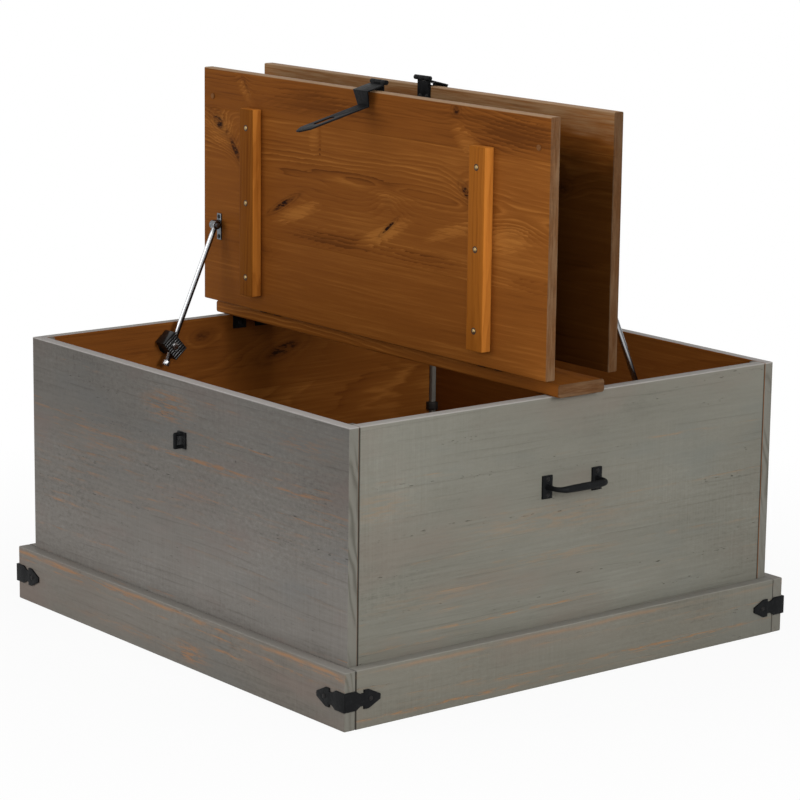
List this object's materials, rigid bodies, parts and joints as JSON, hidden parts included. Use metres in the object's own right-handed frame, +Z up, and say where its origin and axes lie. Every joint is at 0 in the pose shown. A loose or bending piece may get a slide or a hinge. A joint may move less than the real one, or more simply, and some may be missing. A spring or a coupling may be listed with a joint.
{
  "type": "storage chest",
  "caption": "Low square wooden storage chest on a plinth, with twin lids hinged to a centre board, friction stays, hasps with staples, bow handles and corner irons.",
  "frame": {"origin": "on the floor under the middle of the plinth", "axes": "+Z up, front (one of the two lid sides, with a staple) towards -Y, hinge lines along X, a bow handle on each X side"},
  "size_m": [0.831, 0.8078, 0.792],
  "materials": {
    "washed_wood": "grey wash, rubbed thin along the grain",
    "pine": "honey stain under satin wax",
    "iron": "blackened, satin",
    "stay_steel": "bright zinc",
    "screw_steel": "blackened",
    "connector_plastic": "black moulded plastic",
    "stay_plastic": "dark satin plastic",
    "bumper_rubber": "pale matt rubber"
  },
  "bodies": {
    "chest": {"front_wall": "washed_wood", "back_wall": "washed_wood", "left_wall": "washed_wood", "right_wall": "washed_wood", "bottom_panel": "pine", "bottom_cleats": "pine", "front_plinth": "washed_wood", "back_plinth": "washed_wood", "left_plinth": "washed_wood", "right_plinth": "washed_wood", "corner_strips": "washed_wood", "corner_connectors": "connector_plastic", "centre_board": "pine", "board_brackets": "iron", "inner_screws": "screw_steel", "corner_irons": "iron", "corner_iron_screws": "screw_steel", "left_handle_bar": "iron", "left_handle_plates": "iron", "right_handle_bar": "iron", "right_handle_plates": "iron", "face_iron_screws": "screw_steel", "front_staple": "iron", "back_staple": "iron", "hinge_board_leaves": "iron", "hinge_pins": "iron", "hinge_board_screws": "screw_steel", "stay_wall_plates": "iron"},
    "front_lid": {"front_lid_panel": "pine", "front_lid_battens": "pine", "front_batten_screws": "stay_steel", "front_lid_bumpers": "bumper_rubber", "front_lid_hinge_leaves": "iron", "front_lid_iron_screws": "screw_steel", "front_hasp_leaf": "iron", "front_stay_bracket": "stay_steel", "front_stay_bracket_screws": "screw_steel", "front_stay_pin": "stay_steel", "front_hasp_pin": "iron"},
    "front_hasp": {"front_hasp_strap": "iron"},
    "front_stay_rod_body": {"front_stay_rod": "stay_steel", "front_stay_stop": "stay_steel"},
    "front_stay_block_body": {"front_stay_block": "stay_plastic", "front_stay_brake_screw": "screw_steel"},
    "back_lid": {"back_lid_panel": "pine", "back_lid_battens": "pine", "back_batten_screws": "stay_steel", "back_lid_bumpers": "bumper_rubber", "back_lid_hinge_leaves": "iron", "back_lid_iron_screws": "screw_steel", "back_hasp_leaf": "iron", "back_stay_bracket": "stay_steel", "back_stay_bracket_screws": "screw_steel", "back_stay_pin": "stay_steel", "back_hasp_pin": "iron"},
    "back_hasp": {"back_hasp_strap": "iron"},
    "back_stay_rod_body": {"back_stay_rod": "stay_steel", "back_stay_stop": "stay_steel"},
    "back_stay_block_body": {"back_stay_block": "stay_plastic", "back_stay_brake_screw": "screw_steel"}
  },
  "joints": [
    {"name": "front_lid_hinge", "type": "hinge", "parent": "chest", "child": "front_lid", "pos_m": [0, -0.043, 0.421], "axis": [1, 0, 0], "range_deg": [0, 90]},
    {"name": "front_stay_rod_pivot", "type": "hinge", "parent": "front_lid", "child": "front_stay_rod_body", "pos_m": [-0.35, -0.0764, 0.54249], "axis": [1, 0, 0], "range_deg": [-45, 0]},
    {"name": "front_stay_block_swivel", "type": "hinge", "parent": "chest", "child": "front_stay_block_body", "pos_m": [-0.35, -0.15627, 0.36582], "axis": [1, 0, 0], "range_deg": [0, 45]},
    {"name": "front_hasp_turn", "type": "hinge", "parent": "front_lid", "child": "front_hasp", "pos_m": [0.006, -0.0445, 0.7885], "axis": [1, 0, 0], "range_deg": [-24, 0]},
    {"name": "back_lid_hinge", "type": "hinge", "parent": "chest", "child": "back_lid", "pos_m": [0, 0.043, 0.421], "axis": [-1, 0, 0], "range_deg": [0, 90]},
    {"name": "back_stay_rod_pivot", "type": "hinge", "parent": "back_lid", "child": "back_stay_rod_body", "pos_m": [0.35, 0.0764, 0.54249], "axis": [-1, 0, 0], "range_deg": [-45, 0]},
    {"name": "back_stay_block_swivel", "type": "hinge", "parent": "chest", "child": "back_stay_block_body", "pos_m": [0.35, 0.15627, 0.36582], "axis": [-1, 0, 0], "range_deg": [0, 45]},
    {"name": "back_hasp_turn", "type": "hinge", "parent": "back_lid", "child": "back_hasp", "pos_m": [-0.006, 0.0445, 0.7885], "axis": [-1, 0, 0], "range_deg": [-24, 0]}
  ],
  "couplings": [
    {"joint": "front_stay_rod_pivot", "follows": "front_lid_hinge", "ratio": -0.5},
    {"joint": "front_stay_block_swivel", "follows": "front_lid_hinge", "ratio": 0.5},
    {"joint": "front_hasp_turn", "follows": "front_lid_hinge", "ratio": -0.26667},
    {"joint": "back_stay_rod_pivot", "follows": "back_lid_hinge", "ratio": -0.5},
    {"joint": "back_stay_block_swivel", "follows": "back_lid_hinge", "ratio": 0.5},
    {"joint": "back_hasp_turn", "follows": "back_lid_hinge", "ratio": -0.26667}
  ]
}
